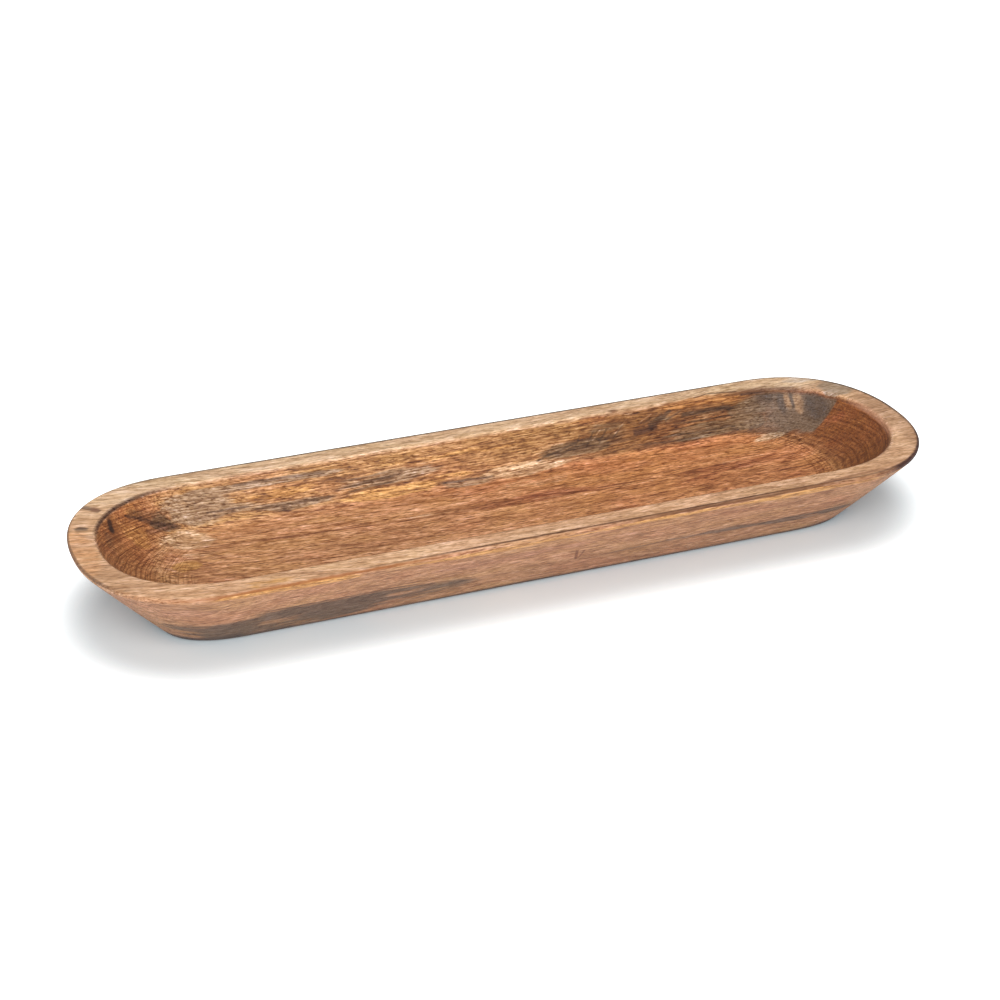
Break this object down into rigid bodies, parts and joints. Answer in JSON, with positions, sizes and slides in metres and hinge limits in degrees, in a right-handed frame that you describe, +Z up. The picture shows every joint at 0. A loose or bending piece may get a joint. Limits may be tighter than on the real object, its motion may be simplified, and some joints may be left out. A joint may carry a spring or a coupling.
{
  "type": "oval shallow bowl",
  "caption": "Long oval shallow bowl carved from solid wood, with a flat rim, straight flared sides and a scooped hollow, for serving bread or fruit or for display.",
  "frame": {"origin": "centre of the base, on the table", "axes": "+X along the bowl's length, +Y across it, +Z up out of the hollow"},
  "size_m": [0.508, 0.1494, 0.051],
  "materials": {
    "hardwood": "sanded and oiled hardwood, satin, with open pores and dark heartwood streaks"
  },
  "bodies": {
    "root": {"carved_bowl": "hardwood"}
  },
  "joints": []
}
